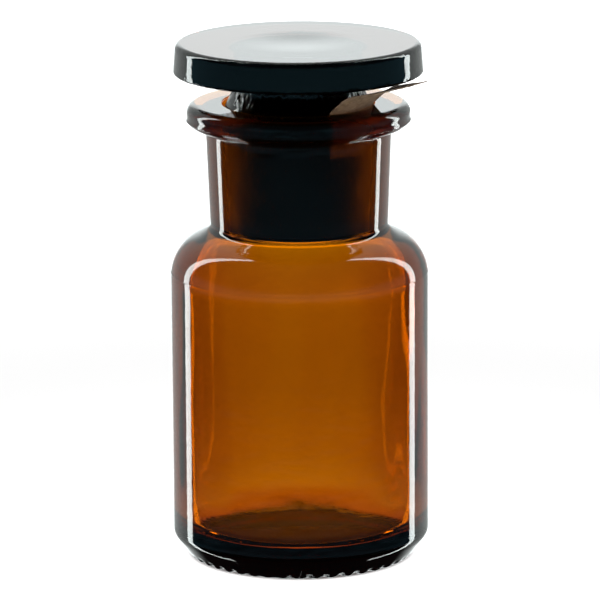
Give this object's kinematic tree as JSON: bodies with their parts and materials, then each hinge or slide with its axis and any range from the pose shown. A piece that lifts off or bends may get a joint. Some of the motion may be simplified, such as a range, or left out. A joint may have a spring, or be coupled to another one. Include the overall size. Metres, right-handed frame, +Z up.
{
  "type": "reagent bottle",
  "caption": "Small wide-mouth amber glass reagent bottle with a ground joint, a flat disc stopper and a kraft paper strip caught in the joint to stop it seizing.",
  "frame": {"origin": "centre of the foot ring, on the surface that the bottle stands on", "axes": "+Z up along the bottle's axis; the front, as usually seen, faces -Y, and the paper strip points to the front right"},
  "size_m": [0.042, 0.042, 0.0849],
  "materials": {
    "bottle_glass": "clear amber glass, fire-polished, with a ground bore",
    "stopper_glass": "clear amber glass, pressed, with a ground plug",
    "kraft_paper": "matt unbleached kraft paper"
  },
  "bodies": {
    "bottle": {"bottle": "bottle_glass"},
    "strip": {"paper_strip": "kraft_paper"},
    "stopper": {"stopper": "stopper_glass"}
  },
  "joints": [
    {"name": "stopper_turn", "type": "hinge", "parent": "bottle", "child": "strip", "pos_m": [0, 0, 0.0744], "axis": [0, 0, 1], "continuous": true},
    {"name": "stopper_lift", "type": "slide", "parent": "strip", "child": "stopper", "axis": [0, 0, 1], "range_m": [0, 0.03]}
  ]
}
